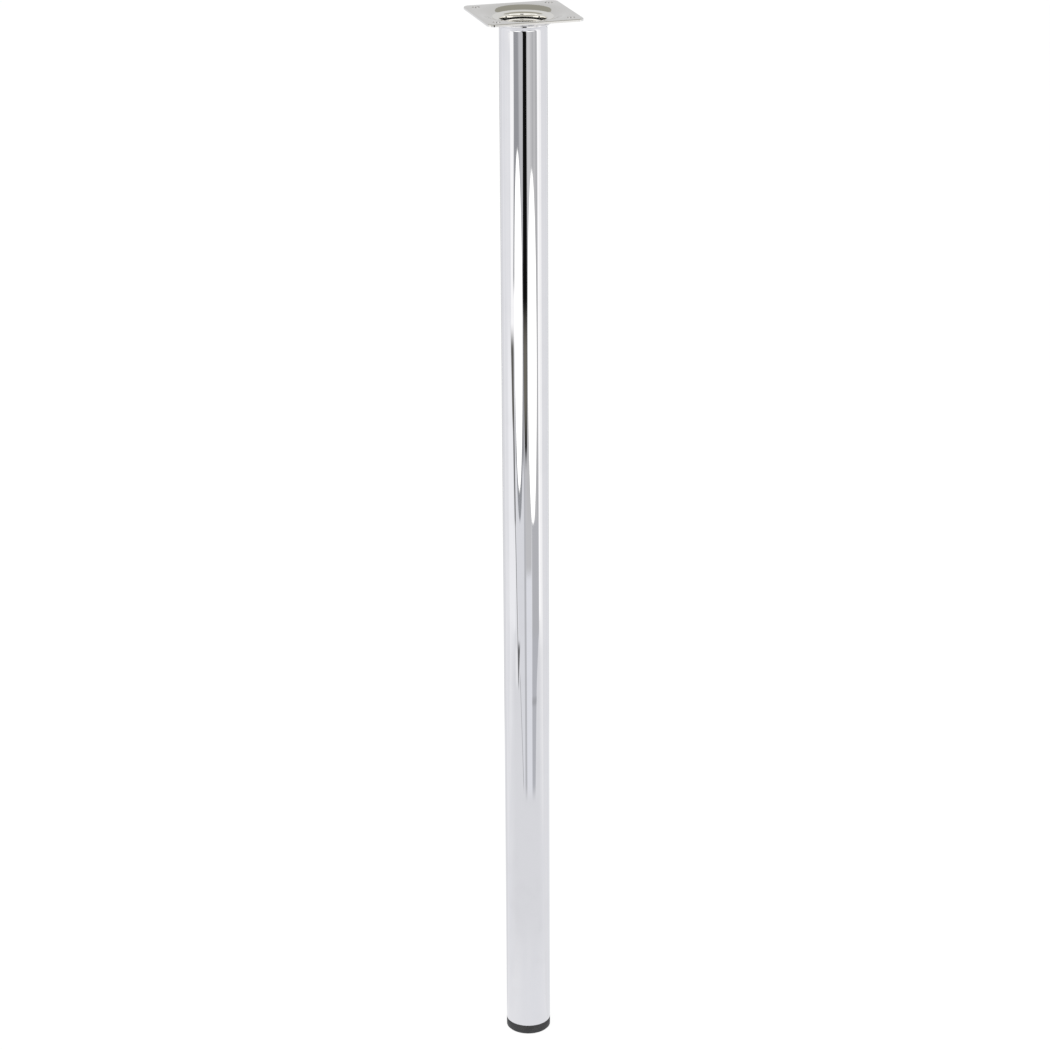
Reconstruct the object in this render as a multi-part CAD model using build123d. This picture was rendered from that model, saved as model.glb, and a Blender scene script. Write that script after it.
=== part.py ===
# Fixed furniture leg: a round steel tube crimped into a pressed mounting plate,
# with a plastic glide pushed into its lower end.
# Millimetres, +Z up, origin at the centre of the glide's underside, plate sides along X and Y.
from build123d import *
from math import atan, sqrt, tan
import os

# Driving dimensions of the tube
leg_height = 710.0
tube_diameter = 30.0
tube_wall = 0.9

# Driving dimensions of the mounting plate
plate_side = 61.0
plate_thickness = 1.4
plate_corner_radius = 4.5
plate_edge_break = 0.3
screw_hole_diameter = 4.8
screw_inset = 7.0
dish_depth = 3.1
dish_slope_run = 5.0
dish_floor_width = 4.7
dish_floor_fall = 0.6
dish_rim_bend = 16.0
dish_under_break = 2.1

# Driving dimensions of the crimp: a flare in the dish and a folded bead under it
flare_bend = 0.7
throat_spread = 0.4
bead_reach = 2.2
bead_gap = 0.5
bead_root_spread = 0.25
bead_root_height = 2.3
bead_root_bend = 0.6

# Driving dimensions of the glide
glide_height = 6.6
glide_edge_break = 0.7
glide_floor = 3.0
plug_length = 15.0
plug_wall = 1.8
barb_count = 2
barb_depth = 0.6

# Clearances
hole_clearance = 0.1
flare_clearance = 1.2
plug_clearance = 0.05

# Radii that follow from the tube
tube_radius = tube_diameter / 2
bore_radius = tube_radius - tube_wall
plate_hole_radius = tube_radius + throat_spread + hole_clearance
dish_floor_radius = plate_hole_radius + dish_floor_width
dish_rim_radius = dish_floor_radius + dish_slope_run
flare_radius = dish_floor_radius - flare_clearance
fold_radius = tube_radius + bead_reach - tube_wall
barb_radius = bore_radius - plug_clearance
plug_radius = barb_radius - barb_depth

# Heights that follow from the leg's height
plate_top = leg_height
dish_floor_edge = plate_top - dish_depth
floor_slope = dish_floor_fall / dish_floor_width
floor_sheet = plate_thickness * sqrt(1 + floor_slope**2)
floor_wall = tube_wall * sqrt(1 + floor_slope**2)


def floor_height(radius):
    """Height of the dish floor's top face, which falls towards the tube, at a radius."""
    return dish_floor_edge - floor_slope * (dish_floor_radius - radius)


def turned(section):
    """Solid of revolution about the leg's axis from a section drawn as radius and height."""
    return revolve(Plane.XZ * section, Axis.Z)


def rounded(section, corner, radius):
    """The section with its corner nearest to the given point rounded."""
    return fillet(section.vertices().sort_by_distance(corner)[0], radius)


def broken(section, corner, length):
    """The section with its corner nearest to the given point chamfered."""
    return chamfer(section.vertices().sort_by_distance(corner)[0], length)


def make_mounting_plate():
    """Square pressed plate with a dish round the tube's hole and four screw holes."""
    # Flat sheet with its top edges broken, opened where the dish begins
    sheet_outline = RectangleRounded(plate_side, plate_side, plate_corner_radius)
    sheet = extrude(Pos(0, 0, plate_top - plate_thickness) * sheet_outline, plate_thickness)
    sheet = chamfer(sheet.faces().sort_by(Axis.Z)[-1].edges(), plate_edge_break)
    slope = atan(dish_depth / dish_slope_run)
    dish_start = dish_rim_radius + dish_rim_bend * tan(slope / 2) + plate_edge_break
    opening = Pos(0, 0, plate_top) * Cylinder(dish_start, 4 * plate_thickness)

    # Dish that bends softly down from the flat sheet and slopes to its floor
    floor_mitre = plate_thickness * tan((slope - atan(floor_slope)) / 2)
    floor_corner_radius = dish_floor_radius - floor_mitre
    rim_corner = (dish_rim_radius, plate_top)
    under_corner = (dish_rim_radius - plate_thickness * tan(slope / 2), plate_top - plate_thickness)
    floor_corner = (floor_corner_radius, floor_height(floor_corner_radius) - floor_sheet)
    hole_corner = (plate_hole_radius, floor_height(plate_hole_radius))
    dish_outline = Polyline(
        (dish_start, plate_top),
        rim_corner,
        (dish_floor_radius, dish_floor_edge),
        hole_corner,
        (plate_hole_radius, floor_height(plate_hole_radius) - floor_sheet),
        floor_corner,
        under_corner,
        (dish_start, plate_top - plate_thickness),
        close=True,
    )
    dish_section = make_face(dish_outline)
    dish_section = rounded(dish_section, rim_corner, dish_rim_bend)
    dish_section = broken(dish_section, under_corner, dish_under_break)
    dish_section = broken(dish_section, floor_corner, plate_thickness / 2)
    dish = turned(broken(dish_section, hole_corner, flare_bend))
    outline_prism = extrude(Pos(0, 0, plate_top - plate_side / 2) * sheet_outline, plate_side / 2)

    # Plain round screw holes, one near each corner
    screw_spacing = plate_side - 2 * screw_inset
    screw_hole = Cylinder(screw_hole_diameter / 2, 4 * plate_thickness)
    screw_places = Pos(0, 0, plate_top) * GridLocations(screw_spacing, screw_spacing, 2, 2)
    plate = sheet - opening + (dish & outline_prism)
    return plate - [place * screw_hole for place in screw_places]


def make_leg_tube():
    """Tube whose top end is folded out into a bead under the plate and flared over its floor."""
    # The face towards the bore, from the flare's rim down to the glide
    throat_radius = bore_radius + throat_spread
    throat = (throat_radius, floor_height(throat_radius) + floor_wall)
    fold_height = floor_height(bore_radius) - floor_sheet - floor_wall
    fold_lip = (bore_radius, fold_height)
    bead_lip = (bore_radius + bead_root_spread, fold_height - bead_gap)
    bead_root = (bore_radius, fold_height - bead_gap - bead_root_height)
    bore_face = Polyline(
        (flare_radius, floor_height(flare_radius) + floor_wall),
        throat,
        fold_lip,
        (fold_radius, floor_height(fold_radius) - floor_sheet - floor_wall),
        bead_lip,
        bead_root,
        (bore_radius, glide_height),
    )
    section = make_face(offset(bore_face, amount=tube_wall, side=Side.LEFT, closed=True))

    # Bends of the flare and of the bead's two lips towards the bore
    section = rounded(section, throat, flare_bend + tube_wall)
    section = broken(section, fold_lip, bead_gap)
    section = rounded(section, bead_lip, bead_root_bend + tube_wall)
    return turned(section)


def make_foot_glide():
    """Plastic ring as wide as the tube, with a hollow barbed plug inside the tube."""
    plug_top = glide_height + plug_length
    base = Cylinder(tube_radius, glide_height, align=(Align.CENTER, Align.CENTER, Align.MIN))
    base = chamfer(base.edges().sort_by(Axis.Z)[0], glide_edge_break)

    # Plug with a saw-tooth row of barbs that taper upwards
    outline = [(0, glide_height)]
    barb_length = plug_length / barb_count
    for barb in range(barb_count):
        barb_bottom = glide_height + barb * barb_length
        outline += [(barb_radius, barb_bottom), (plug_radius, barb_bottom + barb_length)]
    plug = turned(make_face(Polyline(*outline, (0, plug_top), close=True)))

    # Moulded hollow, open to the tube
    hollow = Cylinder(plug_radius - plug_wall, plug_top - glide_floor)
    return base + plug - Pos(0, 0, (plug_top + glide_floor) / 2) * hollow


pieces = {
    "mounting_plate": make_mounting_plate(),
    "leg_tube": make_leg_tube(),
    "foot_glide": make_foot_glide(),
}

os.makedirs("parts", exist_ok=True)
for name, piece in pieces.items():
    export_step(piece, f"parts/{name}.step")
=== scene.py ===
# Looks of a chromed furniture leg: finishes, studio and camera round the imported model.
# Metres, +Z up, with the origin under the middle of the foot. Bearings are in degrees.
from math import cos, pi, radians, sin

import bmesh
import bpy
from mathutils import Matrix, Vector


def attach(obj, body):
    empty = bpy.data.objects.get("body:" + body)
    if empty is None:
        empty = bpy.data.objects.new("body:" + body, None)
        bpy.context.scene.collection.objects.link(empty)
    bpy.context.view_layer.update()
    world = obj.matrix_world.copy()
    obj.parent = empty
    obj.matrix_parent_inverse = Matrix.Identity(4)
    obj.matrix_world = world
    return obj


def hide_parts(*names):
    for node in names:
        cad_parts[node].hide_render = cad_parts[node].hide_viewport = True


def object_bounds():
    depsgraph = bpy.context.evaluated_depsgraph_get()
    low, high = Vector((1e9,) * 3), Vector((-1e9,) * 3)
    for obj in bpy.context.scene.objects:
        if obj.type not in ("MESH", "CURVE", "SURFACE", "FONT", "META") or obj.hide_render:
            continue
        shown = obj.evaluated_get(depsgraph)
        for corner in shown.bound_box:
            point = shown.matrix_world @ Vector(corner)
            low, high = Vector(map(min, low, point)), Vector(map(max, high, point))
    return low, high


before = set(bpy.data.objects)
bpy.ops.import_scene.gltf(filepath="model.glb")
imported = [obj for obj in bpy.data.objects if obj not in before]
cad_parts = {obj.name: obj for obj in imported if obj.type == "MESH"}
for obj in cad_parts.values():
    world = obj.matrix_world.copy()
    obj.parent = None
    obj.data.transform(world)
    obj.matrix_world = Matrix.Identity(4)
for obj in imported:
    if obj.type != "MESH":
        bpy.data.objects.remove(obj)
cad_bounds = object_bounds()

# Camera, as the photograph was taken
IMAGE_PX = 1050
FOCAL_PX = 3067.1
SENSOR_MM = 36.0
CAMERA_PLACE = Vector((-0.5239, -1.7927, 1.0983))
CAMERA_YAW = radians(16.274)
CAMERA_PITCH = radians(21.236)
CAMERA_ROLL = radians(-0.313)
CAMERA_CLIP = 50.0

# Studio round the leg: a floor, and a round wall that only reflections see
FLOOR_HALF = 6.0
FLOOR_PAINT = (0.9, 0.9, 0.9)
FLOOR_PAINT_SHARE = 0.12
FLOOR_WHITE = 1.06
WALL_RADIUS = 1.0
WALL_HEIGHT = 1.5
WALL_SEGMENTS = 96
SKY_LIGHT = 0.75
CEILING = (0.37, 0.36, 0.31)
LAMP = (1.5, 1.5, 1.46)
LAMP_SHADOW = (0.34, 0.35, 0.37)
SPOT_INSIDE = 0.97
SPOT_OUTSIDE = 1.06

# Soft lamp that lights the floor and the plastic
SOFT_LAMP_PLACE = Vector((-0.9, -0.9, 1.9))
SOFT_LAMP_AIM = Vector((0, 0, 0.3))
SOFT_LAMP_WIDTH = 0.9
SOFT_LAMP_WATTS = 12

# Finishes
CHROME = (0.815, 0.81, 0.825)
# Crimp and bore: slightly warmer plating, made paler as a painted highlight
CRIMP_PLATING_AND_HIGHLIGHT = (0.93, 0.915, 0.88)
NICKEL = (0.80, 0.79, 0.775)
STAIN_SHADE = 0.96
# Painted shade: near-black, dull colour deep in the fold, in place of the shadow in its gap
FOLD_SHADE = (0.012, 0.011, 0.01)
FOLD_SHADE_ROUGHNESS = 0.8
PLASTIC = (0.032, 0.032, 0.034)
RUBBED = (0.06, 0.06, 0.06)
RUB_TOP = 0.0016
RUB_FULL = 0.0002
GRAIN_DEPTH = 0.00003

# Places in the crimp, from the leg's top and the tube's radius
LEG_TOP = cad_bounds[1][2]
TUBE_RADIUS = 0.015
TUBE_WALL = 0.0009
BEAD_REACH = 0.0022
SOFT_EDGE = 0.0001
BORE_EDGE = TUBE_RADIUS - 0.0003
FOLD_INSIDE = TUBE_RADIUS - TUBE_WALL
FOLD_OUTSIDE = TUBE_RADIUS + BEAD_REACH - TUBE_WALL
PLATE_UNDERSIDE = LEG_TOP - 0.0048
FOLD_TOP = LEG_TOP - 0.0056
FOLD_BOTTOM = LEG_TOP - 0.0069
UNDER_BEAD = (LEG_TOP - 0.0110, LEG_TOP - 0.0100)

# Shading of the copied solids
WELD = 1e-7
FLATNESS = radians(1)
CREASE = radians(38)
AREA_WEIGHT = 100


class Field:
    """A number that varies over a surface, worked out by a material's math nodes."""

    def __init__(self, tree, socket):
        self.tree = tree
        self.socket = socket

    def _math(self, operation, *others):
        node = self.tree.nodes.new("ShaderNodeMath")
        node.operation = operation
        for index, value in enumerate((self, *others)):
            if isinstance(value, Field):
                self.tree.links.new(value.socket, node.inputs[index])
            else:
                node.inputs[index].default_value = value
        return Field(self.tree, node.outputs[0])

    def __add__(self, other):
        return self._math("ADD", other)

    def __sub__(self, other):
        return self._math("SUBTRACT", other)

    def __mul__(self, other):
        return self._math("MULTIPLY", other)

    def __truediv__(self, other):
        return self._math("DIVIDE", other)

    def bearing_from(self, forward):
        """Bearing, in degrees, of a place that lies this far sideways and so far forward."""
        return self._math("ARCTAN2", forward)._math("DEGREES")

    def size(self):
        return self._math("ABSOLUTE")

    def root(self):
        return self._math("SQRT")

    def most(self, other):
        return self._math("MAXIMUM", other)

    def ramp(self, start, end, low=0.0, high=1.0):
        """low at start, high at end and smooth between."""
        node = self.tree.nodes.new("ShaderNodeMapRange")
        node.interpolation_type = "SMOOTHSTEP"
        self.tree.links.new(self.socket, node.inputs["Value"])
        node.inputs["From Min"].default_value = start
        node.inputs["From Max"].default_value = end
        node.inputs["To Min"].default_value = low
        node.inputs["To Max"].default_value = high
        return Field(self.tree, node.outputs["Result"])

    def between(self, low, high, soft):
        """1 between low and high, 0 outside, with edges that are soft wide."""
        return self.ramp(low - soft / 2, low + soft / 2) * self.ramp(high + soft / 2, high - soft / 2)


def new_material(name):
    """An empty node material and its tree."""
    material = bpy.data.materials.new(name)
    material.use_nodes = True
    material.node_tree.nodes.clear()
    return material, material.node_tree


def show(tree, shader):
    """Lead a shader to the material's output."""
    output = tree.nodes.new("ShaderNodeOutputMaterial")
    tree.links.new(shader, output.inputs["Surface"])


def place(tree):
    """Where a point of the surface lies: x, y and z."""
    geometry = tree.nodes.new("ShaderNodeNewGeometry")
    split = tree.nodes.new("ShaderNodeSeparateXYZ")
    tree.links.new(geometry.outputs["Position"], split.inputs[0])
    return [Field(tree, socket) for socket in split.outputs]


def noise(tree, scale, detail=2.0, stretch=(1, 1, 1)):
    """Soft random pattern from 0 to 1, with about scale cells per metre."""
    geometry = tree.nodes.new("ShaderNodeNewGeometry")
    mapping = tree.nodes.new("ShaderNodeMapping")
    mapping.inputs["Scale"].default_value = stretch
    texture = tree.nodes.new("ShaderNodeTexNoise")
    texture.inputs["Scale"].default_value = scale
    texture.inputs["Detail"].default_value = detail
    tree.links.new(geometry.outputs["Position"], mapping.inputs["Vector"])
    tree.links.new(mapping.outputs[0], texture.inputs["Vector"])
    return Field(tree, texture.outputs[0])


def mix_color(tree, mask, below, above):
    """The colour below, with the colour above laid over it where the mask is 1."""
    node = tree.nodes.new("ShaderNodeMix")
    node.data_type = "RGBA"
    tree.links.new(mask.socket, node.inputs["Factor"])
    for name, value in (("A", below), ("B", above)):
        socket = [s for s in node.inputs if s.name == name and s.type == "RGBA"][0]
        if isinstance(value, tuple):
            socket.default_value = (*value, 1)
        else:
            tree.links.new(value, socket)
    return [s for s in node.outputs if s.type == "RGBA"][0]


def mix_shader(tree, factor, first, second):
    """The first shader where the factor is 0, and the second where it is 1."""
    node = tree.nodes.new("ShaderNodeMixShader")
    if isinstance(factor, float):
        node.inputs[0].default_value = factor
    else:
        tree.links.new(factor, node.inputs[0])
    tree.links.new(first, node.inputs[1])
    tree.links.new(second, node.inputs[2])
    return node.outputs[0]


def glow(tree, color, strength=1.0):
    """Light of one colour, or of a colour that varies over the surface."""
    node = tree.nodes.new("ShaderNodeEmission")
    node.inputs["Strength"].default_value = strength
    if isinstance(color, tuple):
        node.inputs["Color"].default_value = (*color, 1)
    else:
        tree.links.new(color, node.inputs["Color"])
    return node.outputs[0]


def grey(level, blue=0.0):
    """A grey of the given level, a little bluer or warmer."""
    return (level * (1 - blue / 3), level, level * (1 + blue))


class Studio:
    """What the metal sees round the leg, painted on the floor and the wall by position.

    bearing is the direction from the leg, in degrees to the right of the photographer.
    reach is the way out along the floor and then up the wall, in metres.
    """

    def __init__(self, tree):
        x, y, z = place(tree)
        ahead = Vector((-sin(CAMERA_YAW), -cos(CAMERA_YAW)))
        right = Vector((cos(CAMERA_YAW), -sin(CAMERA_YAW)))
        forward = x * ahead.x + y * ahead.y
        sideways = x * right.x + y * right.y
        self.tree = tree
        self.bearing = sideways.bearing_from(forward)
        self.reach = (x * x + y * y).root() + z
        self.color = grey(0.93, 0.02)

    def paint(self, mask, color):
        """Lay a colour over all that is painted so far, where the mask is 1."""
        self.color = mix_color(self.tree, mask, self.color, color)

    def panel(self, left, right, low, high, color, soft=3.0, fade=0.015):
        """Panel between two leaning sides; each side has a bearing at low reach and one at high."""
        height = (self.reach - low) / (high - low)
        inside_left = self.bearing - (height * (left[1] - left[0]) + left[0])
        inside_right = self.bearing - (height * (right[1] - right[0]) + right[0])
        across = inside_left.ramp(-soft / 2, soft / 2) * inside_right.ramp(soft / 2, -soft / 2)
        self.paint(across * self.reach.between(low, high, 2 * fade), color)

    def round_spot(self, bearing, half_width, low, high, color):
        """Oval spot round a bearing, from the low reach to the high one."""
        across = (self.bearing - bearing) / half_width
        along = (self.reach - (low + high) / 2) / ((high - low) / 2)
        self.paint((across * across + along * along).ramp(SPOT_OUTSIDE, SPOT_INSIDE), color)

    def pale_surround(self):
        """White screens on all sides, with soft folds."""
        folds = noise(self.tree, 5.0, 3.0, stretch=(1, 1, 0.15)).ramp(0.4, 0.66, high=0.5)
        self.paint(folds, grey(0.82, 0.05))
        away = self.reach.ramp(0.2, 0.55)
        self.paint(self.bearing.between(68, 91, 6) * away, grey(1.08))
        self.paint(self.bearing.between(93, 118, 10), grey(0.87, 0.025))
        left_screen = self.bearing.between(-93, -62, 8) * self.reach.between(0.5, 1.2, 0.15)
        self.paint(left_screen, grey(1.02, 0.02))
        self.paint(self.bearing.between(-152, -128, 16), grey(0.80, 0.03))
        self.paint(self.bearing.between(118, 152, 16), grey(0.84, 0.03))

    def behind(self):
        """Pale backdrop with a dark gap between two strip lights and two dark screens."""
        side = self.bearing.size()
        self.paint(side.ramp(150, 160), grey(0.86, 0.02))
        self.paint(side.between(158, 163, 2) * self.reach.between(0.5, 1.48, 0.1), grey(0.35, 0.03))
        self.paint(side.between(164, 169, 1.5) * self.reach.between(0.9, 1.4, 0.1), LAMP)
        self.paint(side.ramp(170, 173) * self.reach.between(0.9, 1.45, 0.1), grey(0.05))

    def overhead(self):
        """Above the screens: grey at the sides and behind, and white in front."""
        side = self.bearing.size()
        self.paint(side.ramp(70, 80) * self.reach.ramp(1.52, 1.6), grey(0.68))
        self.paint(side.ramp(80, 70) * self.reach.ramp(1.47, 1.5), grey(1.12, -0.02))

    def near_floor(self):
        """Slightly shaded floor in front of the foot."""
        shade = self.bearing.between(-85, 85, 60) * self.reach.between(0.13, 0.7, 0.14)
        self.paint(shade, grey(0.83, 0.03))

    def low_panels(self):
        """Boxes and cloths on the floor under the lamps."""
        self.panel((-17, -60), (-6, -9), 0.40, 1.07, grey(0.83, 0.04), fade=0.02)
        self.panel((-8.5, -9), (1, 1), 0.39, 1.07, grey(0.56, 0.04), fade=0.02)
        self.panel((1, -3), (27, 31), 0.84, 1.07, grey(0.62, 0.02))
        self.panel((1.5, 1), (27, 28), 0.39, 0.86, grey(0.87, 0.05), fade=0.02)
        self.panel((27, 29), (43, 53), 0.39, 0.62, grey(0.54, 0.06), fade=0.02)
        self.panel((29, 30), (51, 67), 0.59, 0.73, grey(0.54, 0.06))
        self.panel((30, 31), (67, 67), 0.71, 1.07, grey(0.53, 0.04))
        self.panel((28, 29), (50, 52), 0.56, 0.575, grey(0.44, 0.05), soft=6, fade=0.006)
        self.panel((-68, -58), (-57, -46), 0.72, 1.10, grey(1.02, 0.02))
        self.panel((-57, -58), (-45, -47), 0.60, 0.68, grey(0.95, 0.02))

    def dark_edges(self):
        """Dark rims and shadows left of the left lamp and under it."""
        self.panel((-42, -57), (-39, -53), 0.60, 1.02, grey(0.28, 0.03), soft=2)
        self.panel((-57, -66), (-50, -56), 0.99, 1.13, grey(0.22, 0.02), soft=3)
        self.panel((-66, -73), (-57, -56), 1.10, 1.19, grey(0.13, -0.1), soft=4)
        self.panel((-42.5, -45.5), (-41, -32), 0.60, 0.69, grey(0.16, 0.02), soft=2)
        self.panel((-18.5, -34), (-16, -31.5), 0.40, 0.62, grey(0.45, 0.04), soft=2)

    def high_panels(self):
        """Grey screens behind and over the lamps, darker at the left, with white edges."""
        self.panel((-71, -66), (-50, -40), 1.18, 1.5, grey(1.14))
        self.panel((-50, -47), (-6, -2), 1.06, 1.5, grey(0.36, 0.05), soft=4)
        self.panel((-57, -42), (-40, -20), 1.24, 1.5, grey(0.36, 0.05), soft=6)
        self.panel((-20, -24), (-4, -1), 1.2, 1.5, grey(0.60, 0.03), soft=10)
        self.panel((8, 10), (67, 67), 1.0, 1.5, grey(0.6, 0.01))
        self.panel((17, 17), (31, 31), 1.2, 1.5, grey(0.72, 0.01), soft=10)
        self.panel((38, 40), (45, 47), 1.3, 1.5, grey(0.52, 0.02), soft=5)
        self.panel((57, 57), (65, 65), 1.0, 1.5, grey(0.5, 0.02), soft=6)
        self.panel((68, 68), (77, 77), 0.75, 1.55, grey(1.18), soft=3)

    def dark_gap(self):
        """Dark gap between the lamps, with a warm patch low in it."""
        self.panel((-3, -9), (8.5, 13), 1.065, 1.26, grey(0.02), soft=2)
        self.panel((-9, -2), (13, 14.5), 1.22, 1.52, grey(0.006), soft=2)
        self.panel((-2.5, -2.5), (14.5, 14.5), 1.48, 2.0, grey(0.006), soft=2)
        self.panel((-5, -7), (7, 10), 1.10, 1.2, grey(0.16, -0.15), soft=5, fade=0.03)

    def lamps(self):
        """Two round lamps, the left one with a shadow under it."""
        self.round_spot(-29.5, 18.5, 1.0, 1.30, LAMP_SHADOW)
        self.round_spot(-30.8, 19.3, 1.032, 1.375, LAMP)
        self.round_spot(36.8, 22.3, 0.992, 1.355, LAMP)


def studio_color(tree):
    """Colour of the studio at each point of the floor or the wall."""
    studio = Studio(tree)
    studio.pale_surround()
    studio.behind()
    studio.overhead()
    studio.near_floor()
    studio.low_panels()
    studio.high_panels()
    studio.dark_edges()
    studio.dark_gap()
    studio.lamps()
    return studio.color


def make_camera():
    """Camera at the photograph's place, with its direction and focal length."""
    ahead = Vector((
        sin(CAMERA_YAW) * cos(CAMERA_PITCH),
        cos(CAMERA_YAW) * cos(CAMERA_PITCH),
        -sin(CAMERA_PITCH),
    ))
    level_right = Vector((cos(CAMERA_YAW), -sin(CAMERA_YAW), 0))
    level_up = level_right.cross(ahead)
    right = cos(CAMERA_ROLL) * level_right + sin(CAMERA_ROLL) * level_up
    up = cos(CAMERA_ROLL) * level_up - sin(CAMERA_ROLL) * level_right
    turn = Matrix((right, up, -ahead)).transposed()
    data = bpy.data.cameras.new("camera")
    data.sensor_width = SENSOR_MM
    data.lens = FOCAL_PX * SENSOR_MM / IMAGE_PX
    data.clip_end = CAMERA_CLIP
    camera = bpy.data.objects.new("camera", data)
    camera.matrix_world = Matrix.Translation(CAMERA_PLACE) @ turn.to_4x4()
    bpy.context.scene.collection.objects.link(camera)
    bpy.context.scene.camera = camera


def add_stage(name, points, faces, material):
    """Mesh of the stage, which isn't part of the object."""
    mesh = bpy.data.meshes.new(name)
    mesh.from_pydata(points, [], faces)
    mesh.materials.append(material)
    stage = bpy.data.objects.new(name, mesh)
    bpy.context.scene.collection.objects.link(stage)
    return stage


def make_floor():
    """White floor that keeps a faint shadow, and shows the studio to the metal."""
    material, tree = new_material("floor_white")
    path = tree.nodes.new("ShaderNodeLightPath")
    paint = tree.nodes.new("ShaderNodeBsdfDiffuse")
    paint.inputs["Color"].default_value = (*FLOOR_PAINT, 1)
    white = glow(tree, grey(1.0), FLOOR_WHITE)
    seen = mix_shader(tree, 1 - FLOOR_PAINT_SHARE, paint.outputs[0], white)
    plain = mix_shader(tree, path.outputs["Is Camera Ray"], paint.outputs[0], seen)
    mirrored = glow(tree, studio_color(tree))
    show(tree, mix_shader(tree, path.outputs["Is Glossy Ray"], plain, mirrored))
    half = FLOOR_HALF
    corners = [(-half, -half, 0), (half, -half, 0), (half, half, 0), (-half, half, 0)]
    add_stage("floor", corners, [(0, 1, 2, 3)], material)


def make_studio_wall():
    """Round wall with the lamps, seen by reflections alone."""
    material, tree = new_material("studio_wall")
    show(tree, glow(tree, studio_color(tree)))
    count = WALL_SEGMENTS
    turns = [2 * pi * i / count for i in range(count)]
    points = [
        (WALL_RADIUS * cos(turn), WALL_RADIUS * sin(turn), z)
        for z in (0, WALL_HEIGHT) for turn in turns
    ]
    faces = [(i, (i + 1) % count, count + (i + 1) % count, count + i) for i in range(count)]
    wall = add_stage("studio_wall", points, faces, material)
    for ray in ("camera", "diffuse", "transmission", "volume_scatter", "shadow"):
        setattr(wall, f"visible_{ray}", False)


def make_world():
    """White world for the view and the plastic, and a grey ceiling for the metal."""
    world = bpy.data.worlds.new("studio")
    bpy.context.scene.world = world
    world.use_nodes = True
    tree = world.node_tree
    tree.nodes.clear()
    path = tree.nodes.new("ShaderNodeLightPath")
    skies = []
    for color, strength in ((grey(1.0), SKY_LIGHT), (grey(1.0), 1.0), (CEILING, 1.0)):
        sky = tree.nodes.new("ShaderNodeBackground")
        sky.inputs["Color"].default_value = (*color, 1)
        sky.inputs["Strength"].default_value = strength
        skies.append(sky.outputs[0])
    seen = mix_shader(tree, path.outputs["Is Camera Ray"], skies[0], skies[1])
    shown = mix_shader(tree, path.outputs["Is Glossy Ray"], seen, skies[2])
    output = tree.nodes.new("ShaderNodeOutputWorld")
    tree.links.new(shown, output.inputs["Surface"])


def make_soft_lamp():
    """Broad lamp in front at the left, which the metal doesn't mirror."""
    data = bpy.data.lights.new("soft_lamp", "AREA")
    data.shape = "DISK"
    data.size = SOFT_LAMP_WIDTH
    data.energy = SOFT_LAMP_WATTS
    lamp = bpy.data.objects.new("soft_lamp", data)
    lamp.location = SOFT_LAMP_PLACE
    aim = SOFT_LAMP_AIM - SOFT_LAMP_PLACE
    lamp.rotation_euler = aim.to_track_quat("-Z", "Y").to_euler()
    lamp.visible_glossy = False
    bpy.context.scene.collection.objects.link(lamp)


def add_bump(tree, shader, height, depth, strength=1.0):
    """Let the surface rise by a field, depth metres from 0 to 1."""
    bump = tree.nodes.new("ShaderNodeBump")
    bump.inputs["Strength"].default_value = strength
    bump.inputs["Distance"].default_value = depth
    tree.links.new(height.socket, bump.inputs["Height"])
    tree.links.new(bump.outputs[0], shader.inputs["Normal"])


def plated(name, color, polish, cloud, ripple, crimped=False):
    """Plated steel: a mirror with slight clouding, stains and ripples.

    polish is the roughness where it is clearest, cloud how much rougher it gets,
    and ripple the height of its waves in metres.
    """
    material, tree = new_material(name)
    shader = tree.nodes.new("ShaderNodeBsdfPrincipled")
    shader.inputs["Metallic"].default_value = 1.0
    duller = tuple(part * STAIN_SHADE for part in color)
    stain = noise(tree, 60, 3.0).ramp(0.45, 0.75, high=0.5)
    base = mix_color(tree, stain, color, duller)
    clouding = noise(tree, 90, 4.0).ramp(0.35, 0.7, polish, polish + cloud)
    if crimped:
        base, clouding = finish_crimp(tree, shader, base, clouding)
    tree.links.new(base, shader.inputs["Base Color"])
    tree.links.new(clouding.socket, shader.inputs["Roughness"])
    waves = noise(tree, 320, 1.0, stretch=(1, 1, 0.25))
    add_bump(tree, shader, waves, ripple)
    show(tree, shader.outputs[0])
    return material


def finish_crimp(tree, shader, base, clouding):
    """Paler, warmer plating with a painted highlight in the crimp and the bore, and black painted
    shade deep in the fold.
    """
    x, y, z = place(tree)
    radius = (x * x + y * y).root()
    # The crimp and the bore, where the painted highlight is laid on
    in_bore = radius.ramp(BORE_EDGE, BORE_EDGE - 2 * SOFT_EDGE)
    in_crimp = in_bore.most(z.ramp(PLATE_UNDERSIDE, PLATE_UNDERSIDE + 2 * SOFT_EDGE))
    # Deep in the fold, where black painted shade stands in for the shadow of the gap
    in_fold = z.between(FOLD_BOTTOM, FOLD_TOP, SOFT_EDGE)
    in_fold = in_fold * radius.ramp(FOLD_INSIDE, FOLD_INSIDE + SOFT_EDGE)
    in_fold = in_fold * radius.ramp(FOLD_OUTSIDE, FOLD_OUTSIDE - SOFT_EDGE)
    # Painted highlight: paler, warmer colour in the crimp and the bore
    base = mix_color(tree, in_crimp, base, CRIMP_PLATING_AND_HIGHLIGHT)
    # Painted shade: near-black in the fold, not metal there, and dull
    base = mix_color(tree, in_fold, base, FOLD_SHADE)
    tree.links.new(in_fold.ramp(1, 0).socket, shader.inputs["Metallic"])
    return base, clouding.most(in_fold * FOLD_SHADE_ROUGHNESS)


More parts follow.
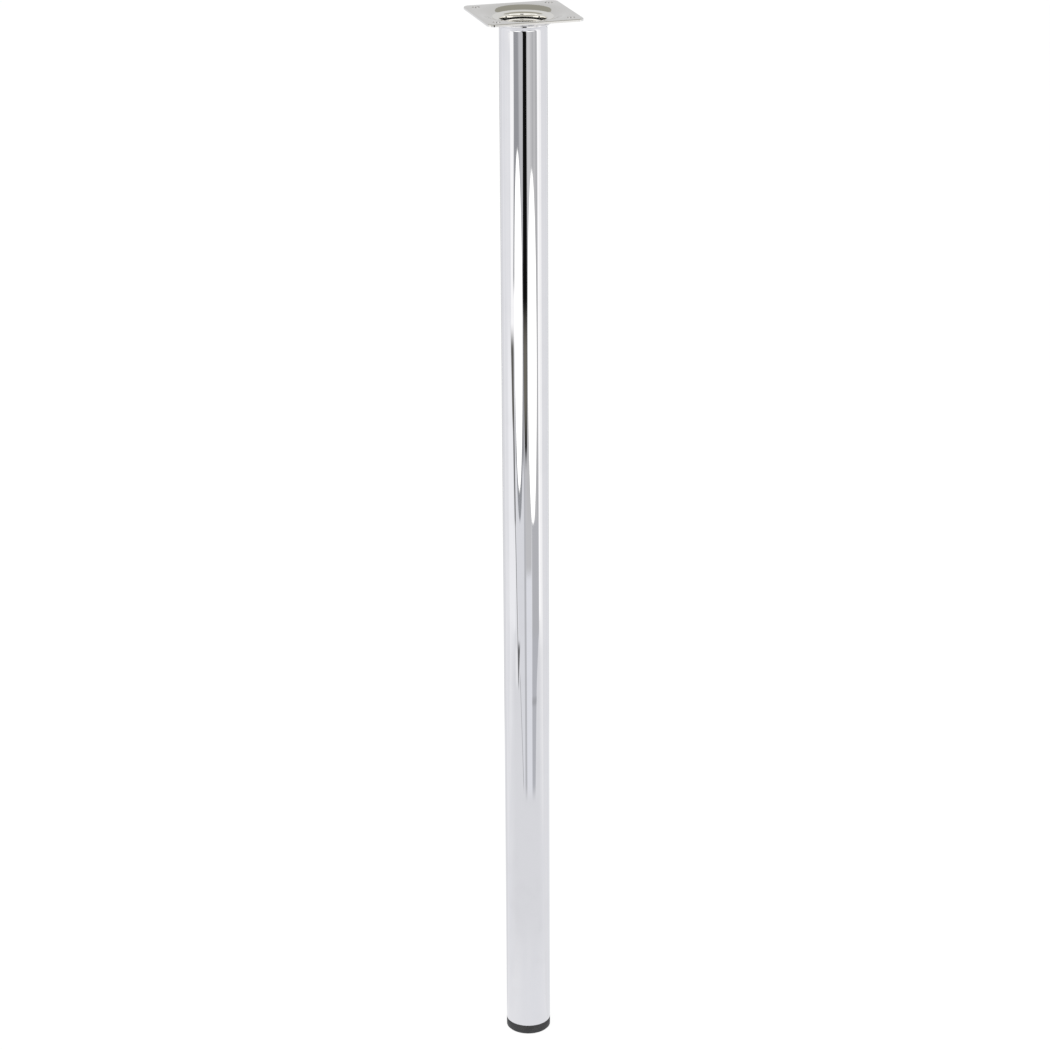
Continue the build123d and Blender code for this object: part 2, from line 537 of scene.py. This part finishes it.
def moulded_plastic():
    """Black moulded plastic with a fine grain and a slightly worn, paler rim at the floor."""
    material, tree = new_material("black_plastic")
    height = place(tree)[2]
    shader = tree.nodes.new("ShaderNodeBsdfPrincipled")
    grain = noise(tree, 2600, 2.0)
    rub = noise(tree, 700, 3.0).ramp(0.5, 0.7) * height.ramp(RUB_TOP, RUB_FULL, high=0.6)
    base = mix_color(tree, rub, PLASTIC, RUBBED)
    tree.links.new(base, shader.inputs["Base Color"])
    tree.links.new(grain.ramp(0.3, 0.7, 0.36, 0.5).socket, shader.inputs["Roughness"])
    add_bump(tree, shader, grain, GRAIN_DEPTH, 0.6)
    show(tree, shader.outputs[0])
    return material


def smooth_piece(node_name, material, cuts=(), flat=False):
    """Copy of a CAD solid with its faces joined and smoothly shaded up to real creases.

    Each cut is a height with an edge all round, where the shading of a bend ends.
    flat shades a piece by the area of its faces, so that large flat ones stay flat.
    """
    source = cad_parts[node_name]
    mesh = bpy.data.meshes.new(node_name + "_looks")
    shape = bmesh.new()
    shape.from_mesh(source.data)
    bmesh.ops.remove_doubles(shape, verts=shape.verts, dist=WELD)
    bmesh.ops.join_triangles(
        shape, faces=shape.faces, angle_face_threshold=FLATNESS, angle_shape_threshold=pi)
    for height in cuts:
        everything = [*shape.verts, *shape.edges, *shape.faces]
        bmesh.ops.bisect_plane(shape, geom=everything, plane_co=(0, 0, height), plane_no=(0, 0, 1))
    shape.to_mesh(mesh)
    shape.free()
    for polygon in mesh.polygons:
        polygon.use_smooth = True
        polygon.material_index = 0
    mesh.set_sharp_from_angle(angle=CREASE)
    mesh.materials.append(material)
    piece = bpy.data.objects.new(node_name + "_looks", mesh)
    piece.matrix_world = source.matrix_world
    bpy.context.scene.collection.objects.link(piece)
    if flat:
        even = piece.modifiers.new("even_shading", "WEIGHTED_NORMAL")
        even.keep_sharp = True
        even.weight = AREA_WEIGHT
    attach(piece, "root")
    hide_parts(node_name)


make_camera()
make_floor()
make_studio_wall()
make_world()
make_soft_lamp()
chrome = plated("tube_chrome", CHROME, polish=0.015, cloud=0.02, ripple=0.0000006, crimped=True)
smooth_piece("leg_tube", chrome, cuts=UNDER_BEAD)
nickel = plated("plate_nickel", NICKEL, polish=0.03, cloud=0.05, ripple=0.000001)
smooth_piece("mounting_plate", nickel, flat=True)
smooth_piece("foot_glide", moulded_plastic())

bpy.context.scene.view_settings.view_transform = "Standard"
